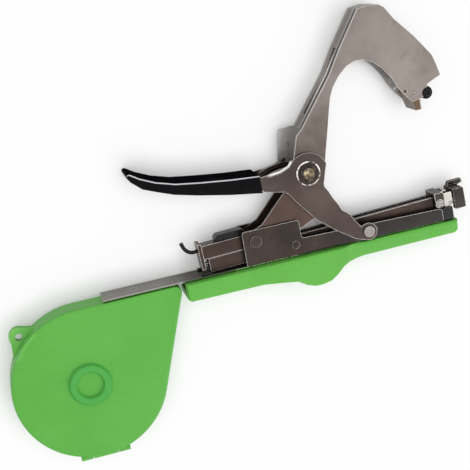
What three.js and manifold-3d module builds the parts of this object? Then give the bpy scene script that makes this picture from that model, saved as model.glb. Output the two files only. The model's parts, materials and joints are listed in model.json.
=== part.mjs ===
import * as THREE from 'three';
import { mergeVertices } from 'three/addons/utils/BufferGeometryUtils.js';
import Module from 'manifold-3d';

// A hand-held plant tying tool that lies on its side. Sizes are in millimetres. X runs along the frame to the
// nose, Y from the grip to the hook, Z through the tool's thickness. The origin is on the reel's axis, where
// the tool lies on the table.

// Sheet steel and the clearances that all pieces share.
const sheet = 1.2;
const slideGap = 0.3;
const seatGap = 0.3;
const overrun = 1;
const weld = 0.0001;

// Lower frame: places are measured from the rear pivot.
const frameWidth = 18.2;
const floorDrop = 13;
const wallRear = 7;
const earFront = 26;
const earTop = 6.5;
const wallDropRear = 4.2;
const wallDropFront = 6.3;
const frameFront = 109.5;
const stripRear = 89;
const bendRadius = 1.7;
const innerBendRadius = 0.5;
const earRadius = 1.6;
const pivotRadius = 2;
const pivotHeadRadius = 3.4;
const pivotHead = 0.8;

// Hook arm: its outline is written in shares of its reach and its rise above the rear pivot.
const armReach = 119.6;
const armRise = 114.3;
const armSwing = 24;
const spineSlotWidth = 5;
const spineSlotCut = 10;
const spineSlotShares = [0.18, 0.74];
const legEnd = 5.5;
const hookBackShares = [[0.3052, 0.4864], [0.3888, 0.5976], [0.4758, 0.7139], [0.5418, 0.8259],
  [0.6538, 0.9939]];
const hookCrownShares = [[0.7065, 1], [0.7567, 0.9939], [0.7793, 0.9764]];
const hookFrontShares = [
  [0.8161, 0.9151], [0.9013, 0.8119], [0.9716, 0.7087], [0.9849, 0.6667], [1, 0.6037], [0.9331, 0.5739]
];
const hookTipShares = [[0.9155, 0.5235], [0.8946, 0.5092], [0.8487, 0.503], [0.8194, 0.5381]];
const throatShares = [
  [0.7893, 0.5827], [0.7642, 0.6404], [0.7274, 0.6929], [0.689, 0.7314], [0.6463, 0.7524], [0.607, 0.7559],
  [0.5619, 0.7402], [0.5167, 0.6999], [0.4816, 0.6527], [0.4624, 0.6089], [0.4473, 0.5512], [0.4281, 0.4689],
  [0.403, 0.3675]
];
const tipHoleRadius = 1.2;
const tipHoleShares = [0.8211, 0.5599];
// The arm's root, its far lug and its legs follow the main rivet's place.
const hookRootShares = [
  [1.3034, 1.1118], [1.2528, 0.8818], [1.2079, 0.7188], [1.0955, 0.6326], [0.8427, 0.6326], [0.6882, 0.7827],
  [0.8062, 1.2268], [0.927, 1.6805]
];
const farLugShares = [[0.8118, 1.246], [0.6742, 1.2141], [0.764, 1.7636], [1.0112, 1.7891]];
const legShares = [
  [-0.1011, 0.131], [0.1601, 0.262], [0.6067, 0.7668], [0.6742, 1.0863], [1.0815, 1.1629], [1.2247, 0.8946],
  [1.1854, 0.7029], [1.1376, 0.3834], [1.0281, 0.1725], [0.6882, 0], [0.6039, 0.1981], [0.1461, -0.0958]
];
const stubRelief = 0.6;
const armRivetRadius = 1.5;
const armRivetShares = [[1.11, 0.775], [0.8, 0.785]];

// Main rivet: the lever carries it and it slides in the arm's slot.
const rivetX = 35.6;
const rivetY = 31.3;
const rivetRadius = 2.2;
const rivetHeadRadius = 4.8;
const rivetHead = 1.5;
const rivetHeadShares = [[1, 0], [1, 0.4], [0.72, 1], [0.45, 0.85], [0.2, 0.5], [0, 0.45]];
const tailRadius = 4.4;
const washerRadius = 6.9;
const washer = 0.6;
const slotRim = 1.7;
const slotSteps = 8;

// Squeeze lever: it turns on the leg rivets in the frame's walls.
const legPinX = 64.5;
const legPinDrop = 9;
const legPinRadius = 2;
const legPinHeadRadius = 3.2;
const legPinHead = 1;
const leverSwing = 16;
const leverBoss = 11.5;
const leverFoot = 4.9;
const handleReach = 97.6;
const webRoot = 27.6;
const coat = 1.4;
const innerCoat = 0.8;
const coatEdge = 1.1;
const handleTipGap = 3.6;
const insetShare = 1.1;
const leverRootShares = [[-0.2203, 0.041], [-0.1598, 0.0482], [-0.1086, 0.0666], [-0.0881, 0.0912]];
const leverUndersideShares = [[-0.1496, -0.0758], [-0.2316, -0.0584], [-0.268, -0.049]];
const legFrontShares = [
  [0.3806, 0.0819], [0.3114, -0.0844], [0.2734, -0.1811], [0.2664, -0.2233], [0.3426, -0.3226],
  [0.4014, -0.4194], [0.481, -0.5186], [0.5398, -0.6154], [0.6817, -0.6973], [0.7509, -0.794],
  [0.8581, -0.9057]
];
const legBackShares = [
  [0.7232, -1.0645], [0.3633, -0.8809], [0.0346, -0.6799], [-0.1003, -0.5608], [-0.308, -0.3722],
  [-0.4221, -0.2457]
];
// The coated handle: its top from the mouth to the tip and its underside from the tip to the mouth.
const handleTopShares = [
  [-0.2766, 0.0502], [-0.4426, 0.0666], [-0.6117, 0.0891], [-0.751, 0.1117], [-0.8566, 0.1445],
  [-0.9385, 0.1834], [-0.9898, 0.2182], [-1.0061, 0.2162]
];
const handleUnderShares = [
  [-1.0092, 0.1977], [-0.9918, 0.1711], [-0.9355, 0.1189], [-0.8514, 0.083], [-0.7674, 0.0502],
  [-0.6363, 0.0164], [-0.459, -0.0215], [-0.2766, -0.0523]
];

// Return spring round the main rivet: one leg hooks in the arm's far lug, the other lies under the handle's
// web.
const returnWire = 1.4;
const returnRadius = 4.6;
const returnCurls = 4;
const returnHalf = 5.3;
const returnLugX = 30.5;
const returnLugY = 48.5;
const returnWebX = 4.5;
const returnWebY = 30.6;
const returnHole = 1.2;

// Clincher, cutter and tape roller at the hook's tip. The clincher is measured from its rivet.
const clincherRivetShares = [0.8629, 0.5451];
const clincherRivetRadius = 1.3;
const clincherAbove = 4.1;
const clincherBelow = 10.3;
const clincherAhead = 3;
const clincherBehind = 3.3;
const clincherTopBehind = 2;
const clincherHeelBehind = 0.3;
const clincherShoulderBelow = 5.1;
const cutterThick = 0.9;
const cutterHalf = 5.8;
const cutterLength = 5.4;
const cutterOverhang = 0.6;
const cutterScrewRadius = 1;
const cutterScrewHead = 1.7;
const cutterScrewRise = 3;
const cutterScrewLength = 3;
const smallHead = 0.6;
const rollerShares = [0.9256, 0.5302];
const rollerRadius = 3.6;
const rollerPinRadius = 1.1;
const rollerPinHead = 1.9;
const rollerEar = 2.7;

// Grip under the frame with the moulded clips that hold it.
const gripRear = 43;
const gripOverhang = 8.5;
const gripDepth = 18.6;
const gripFrontWidth = 19.2;
const gripTaperFrom = 47;
const gripTaperTo = 60;
const gripEdge = 1.8;
const gripFrontWall = 1.2;
const tapeChannelWidth = 11.6;
const tapeChannelDepth = 4.6;
const clipShares = [0.0621, 0.4534, 0.8385];
const clipLength = 6;
const clipInner = 6;
const clipOuter = 7;
const clipHook = 1;
const clipHead = 1;
const gripUndersideShares = [
  [0, -0.4892], [0.0099, -0.5645], [0.0882, -0.5645], [0.2168, -0.5753], [0.2671, -0.5753], [0.3453, -0.672],
  [0.3888, -0.7366], [0.4193, -0.9086], [0.4491, -0.9946], [0.4752, -1], [0.5093, -0.9409], [0.5342, -0.8011],
  [0.559, -0.6075], [0.5839, -0.4892], [0.6087, -0.4516], [0.682, -0.4409], [0.8627, -0.4247],
  [0.9851, -0.414], [0.9975, -0.328]
];

// Tape case: places are measured from the reel's axis.
const caseRadius = 43.2;
const caseThick = 18;
const caseWall = 2;
const caseEdge = 1.6;
const caseLean = 20;
const caseCornerRadius = 4;
const notchGap = 0.8;
const coverDepth = 5;
const coverLip = 1.2;
const coverLipDepth = 2;
const lipClear = 7;
const ringOuter = 12;
const ringInner = 7;
const ringFlat = 3;
const ringHeight = 2;
const ringShoulder = 0.5;
const hubRadius = 10.3;
const hubWall = 1.8;
const tapeExitHeight = 6.5;
const tapeExitDrop = 2.4;
const tapeExitLength = 7.5;
const screwPad = 1.2;
const screwPadReach = 5;
const caseScrewRadius = 1.4;
const caseScrewHead = 2.5;
const caseScrewDepth = 1.9;
const caseScrewOffset = 1.5;
const caseScrewPlaces = [-71, -57];
const screwSlot = 0.6;
const screwSlotDepth = 0.5;
const hangX = -32;
const hangY = 33;
const hangRadius = 5.6;
const hangHole = 2.1;
const hangThick = 4;
const hangBack = 4.5;
const hangRootShares = [[-0.87, 0.46], [-0.5, 0.84], [-0.766, 0.891], [-0.854, 0.7]];
const hingeRadius = 2.2;
const hingePinRadius = 1;
const hingeWidth = 28;
const hingeRoot = 2.4;
const coverKnuckle = 14;

// Reel of tape on its core.
const tapeWidth = 11;
const tapeRoom = 4.2;
const coreWall = 2;
const rollGap = 0.15;

// Magazine: it lies in the frame, turned up by its spring about two stub pivots, and is measured from them.
const magazinePivotX = 22;
const magazinePivotDrop = 7;
const magazineTilt = 2.1;
const magazineWidth = 9.2;
const magazineSheet = 1;
const magazineTop = 3.9;
const magazineBottom = -3.7;
const noseOverhang = 2.5;
const magazineRear = 49;
const magazineLip = 1.3;
const stubRadius = 1.3;
const stubCollar = 2.2;
const stubHead = 2.4;
const stubHeadThick = 0.7;
const stubDepth = 0.7;

// Nose of the magazine.
const staplePassageGap = 0.1;
const noseRib = 1;
const noseCollar = 5;
const noseTop = 6.2;
const cheekLength = 5;
const cheek = 1;
const cheekTop = 5.2;
const cheekBottom = -4;
const noseWall = 1.6;
const drivePassage = 1.6;
const noseScrewRadius = 1.1;
const noseScrewHead = 2;
const noseScrewHeadThick = 0.9;
const noseScrewInset = 2.5;
const noseScrewDepth = 0.5;

// Tape holder in front of the nose, on a pin through the cheeks.
const holderLength = 6.6;
const holderTop = 6.2;
const holderBottom = -5.7;
const holderHalf = 7;
const holderGap = 1.1;
const holderArm = 1.3;
const holderPinRadius = 1;
const holderPinBack = 1.3;
const holderPinY = -1;
const holderArmRadius = 2;
const holderLugReach = 3.6;
const holderLugRise = 2.2;
const holderLugWidth = 3.4;
const holderEdge = 0.8;

// Driver: a thin blade with a foot, and the black guide at the frame's front end that it holds.
const driverThick = 0.8;
const driverWidth = 6;
const driverTop = -6.5;
const driverFoot = 11.6;
const guideLength = 6;
const guideTop = -6.6;
const guideWall = 1.4;
const driverRivetRadius = 1.1;
const driverRivetInset = 4.5;
const guideRivetRadius = 0.6;
const guideRivetInset = 1.3;

// Staple stick and pusher.
const stapleWidth = 6.4;
const stapleLeg = 4.6;
const stapleWire = 0.7;
const stapleRest = 0.3;
const stickLength = 51;
const stickGap = 0.6;
const followerLength = 6;
const followerTop = 2.6;
const rodRadius = 1.1;
const rodRise = 0.5;
const rodEndGap = 6;
const rodStopPlace = -22;
const rodStop = 2;
const rodStopRadius = 2.1;
const capRear = 53.5;
const capPlate = 2;
const capPlateTop = 13.2;
const capPlateBottom = -1.4;
const capPlateHalf = 5.3;
const capBoxHalf = 4.6;
const capBoxFront = 27.2;
const capBoxTop = 11.8;
const capWall = 1;
const padRear = 43;
const padFront = 25.6;
const padHeight = 3.4;
const padHalf = 4;
const padSlope = 1.6;
const padTongue = 1.6;
const padTongueHalf = 2;
const padTongueLength = 8;
const pullRadius = 1.1;
const pullRise = 9;
const pullReach = 8;
const pullHeight = 6.6;
const pullShares = [[-0.3, -0.05], [-0.62, 0.1], [-0.86, 0.46], [-1, 1]];
const pushWire = 0.7;
const pushRadius = 1.9;
const pushCurls = 24;

// Leaf spring under the magazine: it is held with the driver's foot and rises to the rear.
const leafFront = 108.6;
const leafLength = 30;
const leafRise = 3.55;
const leafThick = 0.5;
const leafWidth = 6;
const leafShares = [[0, 0], [-0.35, 0], [-0.55, 0.24], [-0.82, 0.86], [-0.92, 1], [-1.02, 0.92]];

// Round pieces get more sides as they grow, and a curl has eight steps of five sides.
const fewSides = 14;
const someSides = 26;
const manySides = 80;
const curlSteps = 8;
const curlSides = 5;

// Places that follow from the sizes above.
const rad = Math.PI / 180;
const frameHalf = frameWidth / 2;
const frameInner = frameHalf - sheet;
const legHalf = frameInner - slideGap;
const legInner = legHalf - sheet;
const leverInner = frameHalf + slideGap;
const leverHalf = leverInner + sheet;
const midHeight = leverHalf + coat;
const floorTop = -floorDrop;
const floorBottom = floorTop - sheet;
const legPinY = -legPinDrop;
const [tipHoleX, tipHoleY] = [tipHoleShares[0] * armReach, tipHoleShares[1] * armRise];
const [rollerX, rollerY] = [rollerShares[0] * armReach, rollerShares[1] * armRise];
const clincherX = clincherRivetShares[0] * armReach;
const clincherY = clincherRivetShares[1] * armRise;
const clincherFront = clincherX + clincherAhead;
const clincherFoot = clincherY - clincherBelow;
const caseHalf = caseThick / 2;
const caseSplit = caseHalf - coverDepth;
const tapeRadius = caseRadius - caseWall - tapeRoom;
const caseCornerX = caseRadius * (1 + Math.sin(caseLean * rad)) / Math.cos(caseLean * rad);
const reelToPivotX = caseCornerX + notchGap + gripRear;
const reelToPivotY = caseRadius + slideGap - floorBottom;
const gripTop = floorBottom - slideGap;
const gripLength = gripRear + frameFront + gripOverhang;
const clipPlaces = clipShares.map((share) => share * gripLength - gripRear);
const magazineHalf = magazineWidth / 2;
const hingeY = -caseRadius + seatGap;
const slotHalf = rivetRadius + seatGap;
const stapleHalf = stapleWidth / 2;
const passageHalf = stapleHalf + staplePassageGap;
const ribHalf = passageHalf + noseRib;
const armInner = ribHalf + slideGap;
const armOuter = armInner + holderArm;
const noseHalf = armOuter + slideGap + cheek;
const magazineFront = frameFront + noseOverhang - magazinePivotX;
const noseFront = magazineFront + cheekLength;
const holderPinX = noseFront - holderPinBack;
const stickFront = magazineFront - stickGap;
const followerFront = stickFront - stickLength - slideGap;
const followerRear = followerFront - followerLength;
const driverX = magazinePivotX + (magazineFront + drivePassage / 2) * Math.cos(magazineTilt * rad);
const driverRivetX = frameFront - driverRivetInset;
const guideRear = frameFront + slideGap;
const guideRivetX = driverX - driverThick / 2 - guideRivetInset;
const far = 4 * caseRadius;

function turned(x, y, degrees) {
  const c = Math.cos(degrees * rad), s = Math.sin(degrees * rad);
  return [x * c - y * s, x * s + y * c];
}

function spread(shares, sizeX, sizeY, fromX = 0, fromY = 0) {
  return shares.map(([x, y]) => [fromX + x * sizeX, fromY + y * sizeY]);
}

function arc(x, y, radius, from, to, steps) {
  const points = [];
  for (let i = 0; i <= steps; i++) {
    const a = (from + (to - from) * i / steps) * rad;
    points.push([x + radius * Math.cos(a), y + radius * Math.sin(a)]);
  }
  return points;
}

// Rounds the corners of an outline whose points carry a radius as their third value.
function rounded(points, steps = 3) {
  const out = [];
  points.forEach(([x, y, radius = 0], i) => {
    if (!radius) return out.push([x, y]);
    const [ax, ay] = points[(i + points.length - 1) % points.length];
    const [bx, by] = points[(i + 1) % points.length];
    const la = Math.hypot(ax - x, ay - y), lb = Math.hypot(bx - x, by - y);
    const [ux, uy, vx, vy] = [(ax - x) / la, (ay - y) / la, (bx - x) / lb, (by - y) / lb];
    const half = Math.acos(ux * vx + uy * vy) / 2;
    const reach = Math.min(radius / Math.tan(half), la / 2, lb / 2), r = reach * Math.tan(half);
    const l = Math.hypot(ux + vx, uy + vy), d = r / Math.sin(half);
    const cx = x + (ux + vx) / l * d, cy = y + (uy + vy) / l * d;
    const from = Math.atan2(y + uy * reach - cy, x + ux * reach - cx);
    let turn = Math.atan2(y + vy * reach - cy, x + vx * reach - cx) - from;
    turn -= 2 * Math.PI * Math.round(turn / (2 * Math.PI));
    out.push(...arc(cx, cy, r, from / rad, (from + turn) / rad, steps));
  });
  return out;
}

// The outline of a round cutter of the given radius that moves along a path.
function swept(path, radius) {
  const left = [], right = [], last = path.length - 1;
  const heading = (i) => {
    const [ax, ay] = path[Math.max(i - 1, 0)], [bx, by] = path[Math.min(i + 1, last)];
    return Math.atan2(by - ay, bx - ax) / rad;
  };
  path.forEach(([x, y], i) => {
    const [nx, ny] = turned(0, radius, heading(i));
    left.push([x + nx, y + ny]);
    right.unshift([x - nx, y - ny]);
  });
  const front = arc(path[last][0], path[last][1], radius, heading(last) + 90, heading(last) - 90,
    8).slice(1, -1);
  const back = arc(path[0][0], path[0][1], radius, heading(0) - 90, heading(0) - 270, 8).slice(1, -1);
  return [...left, ...front, ...right, ...back];
}

// A ribbon of the given thickness on the right-hand side of a line.
function ribbon(line, thick) {
  const inside = line.map(([x, y], i) => {
    const [ax, ay] = line[Math.max(i - 1, 0)], [bx, by] = line[Math.min(i + 1, line.length - 1)];
    const l = Math.hypot(bx - ax, by - ay);
    return [x + (by - ay) / l * thick, y - (bx - ax) / l * thick];
  });
  return [...line, ...inside.reverse()];
}

// The height of a line at a place along it.
function heightAt(line, x) {
  for (let i = 1; i < line.length; i++) {
    const [ax, ay] = line[i - 1], [bx, by] = line[i];
    if ((x - ax) * (x - bx) <= 0 && ax !== bx) return ay + (by - ay) * (x - ax) / (bx - ax);
  }
  const [ax, ay] = line[0], [bx, by] = line[1];
  return ay + (by - ay) * (x - ax) / (bx - ax);
}

const wasm = await Module();
wasm.setup();

// A closed geometry becomes a solid whose faces point out.
function solid(geometry) {
  geometry.deleteAttribute('normal');
  geometry.deleteAttribute('uv');
  const merged = mergeVertices(geometry, weld);
  const place = merged.attributes.position, kept = [];
  const [a, b, c] = [new THREE.Vector3(), new THREE.Vector3(), new THREE.Vector3()];
  let volume = 0;
  for (let i = 0; i < merged.index.count; i += 3) {
    const [p, q, r] = [0, 1, 2].map((k) => merged.index.getX(i + k));
    if (p === q || q === r || r === p) continue;
    kept.push(p, q, r);
    a.fromBufferAttribute(place, p);
    b.fromBufferAttribute(place, q);
    c.fromBufferAttribute(place, r);
    volume += a.dot(b.cross(c));
  }
  if (volume < 0) kept.reverse();
  return new wasm.Manifold(new wasm.Mesh({
    numProp: 3, vertProperties: new Float32Array(place.array), triVerts: new Uint32Array(kept)
  }));
}

function join(...pieces) {
  return pieces.reduce((all, piece) => all.add(piece));
}

function cut(body, ...pieces) {
  return pieces.reduce((all, piece) => all.subtract(piece), body);
}

function shapeOf(points) {
  return new THREE.Shape(points.map(([x, y]) => new THREE.Vector2(x, y)));
}

// A flat piece with its outline in X and Y, from one Z to another, with rounded edges where an edge is given.
function slab(points, z0, z1, edge = 0) {
  const geometry = new THREE.ExtrudeGeometry(shapeOf(points), {
    depth: z1 - z0 - 2 * edge, bevelEnabled: edge > 0, bevelThickness: edge, bevelSize: edge,
      bevelOffset: -edge,
    bevelSegments: 2
  });
  return solid(geometry.translate(0, 0, z0 + edge));
}

// A section in Z and Y that runs along X.
function along(points, x0, x1) {
  const geometry = new THREE.ExtrudeGeometry(shapeOf(points), { depth: x1 - x0, bevelEnabled: false });
  return solid(geometry.rotateY(Math.PI / 2).translate(x0, 0, 0));
}

// A plan in X and Z that stands along Y.
function standing(points, y0, y1) {
  const geometry = new THREE.ExtrudeGeometry(shapeOf(points), { depth: y1 - y0, bevelEnabled: false });
  return solid(geometry.rotateX(-Math.PI / 2).translate(0, y0, 0));
}

function box(x0, x1, y0, y1, z0, z1) {
  const geometry = new THREE.BoxGeometry(x1 - x0, y1 - y0, z1 - z0);
  return solid(geometry.translate((x0 + x1) / 2, (y0 + y1) / 2, (z0 + z1) / 2));
}

function discZ(x, y, radius, z0, z1, sides = fewSides) {
  const geometry = new THREE.CylinderGeometry(radius, radius, z1 - z0, sides);
  return solid(geometry.rotateX(Math.PI / 2).translate(x, y, (z0 + z1) / 2));
}

function discX(y, z, radius, x0, x1, sides = fewSides) {
  const geometry = new THREE.CylinderGeometry(radius, radius, x1 - x0, sides);
  return solid(geometry.rotateZ(Math.PI / 2).translate((x0 + x1) / 2, y, z));
}

function discY(x, z, radius, y0, y1, sides = fewSides) {
  return solid(new THREE.CylinderGeometry(radius, radius, y1 - y0, sides).translate(x, (y0 + y1) / 2, z));
}

// Turned pieces, from a closed profile of radius and height, about an axis along Z or along Y.
function turnedZ(profile, x, y, sides = someSides) {
  const geometry = new THREE.LatheGeometry(profile.map(([r, h]) => new THREE.Vector2(r, h)), sides);
  return solid(geometry.rotateX(Math.PI / 2).translate(x, y, 0));
}

function turnedY(profile, x, z, sides = fewSides) {
  const geometry = new THREE.LatheGeometry(profile.map(([r, h]) => new THREE.Vector2(r, h)), sides);
  return solid(geometry.translate(x, 0, z));
}

// A round wire along a smooth path.
function wire(points, radius, steps, sides) {
  const path = new THREE.CatmullRomCurve3(points.map((p) => new THREE.Vector3(...p)));
  const outline = shapeOf(arc(0, 0, radius, 0, 360 - 360 / sides, sides - 1));
  return solid(new THREE.ExtrudeGeometry(outline, { steps, extrudePath: path, bevelEnabled: false }));
}

// One unbroken tube through the curls of a spring.
function coil(points, radius) {
  const at = points.map((p) => new THREE.Vector3(...p)), place = [], faces = [];
  const [side, up, way, last] = [0, 1, 2, 3].map(() => new THREE.Vector3(0, 0, 1));
  at.forEach((p, i) => {
    way.subVectors(at[Math.min(i + 1, at.length - 1)], at[Math.max(i - 1, 0)]).normalize();
    if (i === 0 && Math.abs(way.z) > 0.9) last.set(1, 0, 0);
    side.copy(last).addScaledVector(way, -last.dot(way)).normalize();
    last.copy(side);
    up.crossVectors(way, side);
    for (let k = 0; k < curlSides; k++) {
      const a = 2 * Math.PI * k / curlSides;
      const q = p.clone().addScaledVector(side, radius * Math.cos(a)).addScaledVector(up,
        radius * Math.sin(a));
      place.push(q.x, q.y, q.z);
    }
  });
  const end = at.length * curlSides;
  [at[0], at[at.length - 1]].forEach((p) => place.push(p.x, p.y, p.z));
  for (let k = 0; k < curlSides; k++) {
    const n = (k + 1) % curlSides;
    for (let lo = 0; lo + curlSides < end; lo += curlSides) {
      const hi = lo + curlSides;
      faces.push(lo + k, lo + n, hi + n, lo + k, hi + n, hi + k);
    }
    faces.push(end, n, k, end + 1, end - curlSides + k, end - curlSides + n);
  }
  const geometry = new THREE.BufferGeometry();
  geometry.setAttribute('position', new THREE.Float32BufferAttribute(place, 3));
  geometry.setIndex(faces);
  return solid(geometry);
}

// The least gap between the turns of a spring, measured on its centre points.
function leastGap(points, radius) {
  let least = Infinity;
  points.forEach((p, i) => points.slice(i + curlSteps / 2).forEach((q) => {
    least = Math.min(least, Math.hypot(p[0] - q[0], p[1] - q[1], p[2] - q[2]) - 2 * radius);
  }));
  return least;
}

const colours = {
  green: [0x65b74d, 0.45, 0], grip: [0x6cc350, 0.45, 0], steel: [0x9a9088, 0.32, 0.9],
    brown: [0x6b5f58, 0.35, 0.9],
  bright: [0xc9c5c0, 0.25, 1], black: [0x151517, 0.35, 0], brass: [0x9a7a4c, 0.4, 0.9],
  dark: [0x3a3836, 0.45, 0.8],
  paper: [0xa98c62, 0.85, 0], tape: [0x2f7d4a, 0.4, 0]
};

function mesh(group, name, body, look) {
  const made = body.getMesh();
  const geometry = new THREE.BufferGeometry();
  geometry.setAttribute('position', new THREE.Float32BufferAttribute(made.vertProperties, 3));
  geometry.setIndex([...made.triVerts]);
  geometry.computeVertexNormals();
  const [color, roughness, metalness] = colours[look];
  const piece = new THREE.Mesh(geometry, new THREE.MeshStandardMaterial({ color, roughness, metalness }));
  piece.name = name;
  group.add(piece);
}

// Both sides of the tool carry the same plate.
function pair(points, inner, outer) {
  return [slab(points, inner, outer), slab(points, -outer, -inner)];
}

// A span on the near side for a side of 1, on the far side for a side of -1.
function span(side, inner, outer) {
  return side > 0 ? [inner, outer] : [-outer, -inner];
}

// The main rivet's way through the arm while the lever and the arm swing, seen from the arm.
function rivetPath() {
  const path = [];
  for (let i = 0; i <= slotSteps; i++) {
    const [x, y] = turned(rivetX - legPinX, rivetY - legPinY, leverSwing * i / slotSteps);
    path.push(turned(legPinX + x, legPinY + y, armSwing * i / slotSteps));
  }
  return path;
}

// Frame: a channel cut back to a strip behind the ears and to low walls in front of them.
function frameBody() {
  const top = earTop + overrun, out = frameHalf + overrun;
  const section = rounded([
    [-frameHalf, top], [-frameHalf, floorBottom, bendRadius], [frameHalf, floorBottom, bendRadius],
    [frameHalf, top], [frameInner, top], [frameInner, floorTop, innerBendRadius],
    [-frameInner, floorTop, innerBendRadius], [-frameInner, top]
  ]);
  const side = rounded([
    [-stripRear, floorBottom - overrun], [frameFront, floorBottom - overrun],
    [frameFront, -wallDropFront, earRadius], [earFront, -wallDropRear, earRadius],
    [earFront, earTop, earRadius],
    [-wallRear, earTop, earRadius], [-wallRear, floorTop], [-stripRear, floorTop]
  ]);
  let body = along(section, -stripRear, frameFront).intersect(slab(side, -out, out));
  body = cut(body, discZ(0, 0, pivotRadius + seatGap, -out, out),
    discZ(legPinX, legPinY, legPinRadius + seatGap, -out, out),
    discZ(magazinePivotX, -magazinePivotDrop, stubRadius + seatGap, -out, out),
    discY(driverRivetX, 0, driverRivetRadius + seatGap, floorBottom - overrun, floorTop + overrun));
  caseScrewPlaces.forEach((x) => {
    body = cut(body, screwSolid(x, seatGap, overrun));
  });
  clipPlaces.forEach((x) => [1, -1].forEach((side) => {
    const [z0, z1] = span(side, clipInner - seatGap, clipOuter + seatGap);
    body = cut(body, box(x - seatGap, x + clipLength + seatGap, floorBottom - overrun, floorTop + overrun,
      z0, z1));
  }));
  return body;
}

// A flush screw in the strip, or with a gap the room that it needs there.
function screwSolid(x, gap, past) {
  const head = caseScrewHead + gap, shank = caseScrewRadius + gap;
  const low = floorBottom - slideGap - caseScrewDepth;
  const profile = [[0, low], [shank, low], [shank, floorBottom - gap], [head, floorTop - gap]];
  if (past) profile.push([head, floorTop + past]);
  profile.push([0, floorTop + past]);
  return turnedY(profile, x, -caseScrewOffset);
}

function caseScrew(x) {
  const half = screwSlot / 2;
  return cut(screwSolid(x, 0, 0), box(x - caseScrewHead - overrun, x + caseScrewHead + overrun,
    floorTop - screwSlotDepth, floorTop + overrun, -caseScrewOffset - half, -caseScrewOffset + half));
}

// Grip: wide under the hand, as narrow as the frame towards the nose, hollow for the tape and clipped to the
// frame's floor.
function gripBody() {
  const line = [[-gripRear, gripTop], [gripLength - gripRear, gripTop],
    ...spread(gripUndersideShares, gripLength, gripDepth, -gripRear, gripTop).reverse()];
  const front = gripFrontWidth / 2, low = gripTop - gripDepth - overrun, half = tapeChannelWidth / 2;
  const plan = [[-gripRear - overrun, -midHeight], [gripTaperFrom, -midHeight],
    [gripTaperTo, -front + gripEdge],
    [gripTaperTo, front - gripEdge], [gripTaperFrom, midHeight], [-gripRear - overrun, midHeight]];
  const palm = slab(line, -midHeight, midHeight, gripEdge).intersect(standing(plan, low, gripTop + overrun));
  let body = cut(join(palm, slab(line, -front, front, gripEdge)),
    box(-gripRear - overrun, gripLength - gripRear - gripFrontWall, gripTop - tapeChannelDepth,
    gripTop + overrun,
      -half, half));
  clipPlaces.forEach((x) => [1, -1].forEach((side) => {
    const stem = span(side, clipInner, clipOuter), hook = span(side, clipInner - clipHook, clipOuter);
    body = join(body, box(x, x + clipLength, gripTop - overrun, floorTop + seatGap + clipHead, ...stem),
      box(x, x + clipLength, floorTop + seatGap, floorTop + seatGap + clipHead, ...hook));
  }));
  return body;
}

// Teardrop outline of the case, drawn in by an inset.
function teardrop(inset) {
  const r = caseRadius - inset, corner = r * (1 + Math.sin(caseLean * rad)) / Math.cos(caseLean * rad);
  return rounded([...arc(0, 0, r, 90, 360 - caseLean, 60), [corner, r, caseCornerRadius - inset]], 6);
}

function caseBlank() {
  return cut(slab(teardrop(0), -caseHalf, caseHalf, caseEdge),
    slab(teardrop(caseWall), -caseHalf + caseWall, caseHalf - caseWall));
}

// The raised ring on the cover's face.
function coverRing() {
  const mid = (ringOuter + ringInner) / 2, base = caseHalf - caseWall / 2, low = caseHalf + ringShoulder;
  return turnedZ([[ringInner, base], [ringInner, low], [mid - ringFlat / 2, caseHalf + ringHeight],
    [mid + ringFlat / 2, caseHalf + ringHeight], [ringOuter, low], [ringOuter, base], [ringInner, base]],
  0, 0, manySides / 2);
}

// The round flat foot under the shell, on which the tool lies.
function shellFoot() {
  const flat = (ringOuter + ringInner + ringFlat) / 2;
  return turnedZ([[0, -caseHalf + caseWall / 2], [ringOuter, -caseHalf + caseWall / 2],
    [ringOuter, -caseHalf - ringShoulder], [flat, -midHeight], [0, -midHeight]], 0, 0, manySides / 2);
}

// Hinge barrel along X with a root that reaches into the case's wall.
function knuckle(x0, x1, z0, z1) {
  return join(discX(hingeY, caseSplit, hingeRadius, x0, x1), box(x0, x1, hingeY, hingeY + hingeRoot, z0, z1));
}

function tapeExit() {
  const top = caseRadius - tapeExitDrop, half = tapeChannelWidth / 2;
  return box(caseCornerX - tapeExitLength, caseCornerX + overrun, top - tapeExitHeight, top, -half, half);
}

function caseShell() {
  const half = hingeWidth / 2, own = coverKnuckle / 2 + slideGap, inside = caseRadius - caseWall;
  const [padFrom, padTo] = [caseScrewPlaces[0] - screwPadReach, caseScrewPlaces[1] + screwPadReach];
  const [low, high] = [-caseHalf + caseWall / 2, caseHalf - caseWall - 2 * slideGap];
  const pad = box(padFrom + reelToPivotX, padTo + reelToPivotX, inside - screwPad, inside + caseWall / 2,
    low, caseSplit - coverLipDepth - 2 * slideGap);
  const hang = cut(join(discZ(hangX, hangY, hangRadius, -hangBack, hangThick - hangBack, someSides),
    slab(spread(hangRootShares, caseRadius, caseRadius), -hangBack, hangThick - hangBack)),
  discZ(0, 0, caseRadius - caseWall / 2, -caseHalf, caseHalf, manySides));
  const hub = turnedZ([[hubRadius - hubWall, low], [hubRadius, low], [hubRadius, high],
    [hubRadius - hubWall, high], [hubRadius - hubWall, low]], 0, 0, manySides / 2);
  let body = join(cut(caseBlank(), box(-far, far, -far, far, caseSplit, far)), pad, hang, hub, shellFoot(),
    knuckle(-half, -own, caseSplit - hingeRadius, caseSplit),
    knuckle(own, half, caseSplit - hingeRadius, caseSplit));
  body = cut(body, discZ(hangX, hangY, hangHole, -caseHalf, caseHalf), tapeExit(),
    discX(hingeY, caseSplit, hingeRadius + slideGap, -own, own),
    discX(hingeY, caseSplit, hingePinRadius + seatGap, -half - overrun, half + overrun));
  caseScrewPlaces.forEach((x) => {
    body = cut(body, discY(x + reelToPivotX, -caseScrewOffset, caseScrewRadius + seatGap,
      inside - screwPad - overrun, caseRadius + overrun));
  });
  return body;
}

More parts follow.
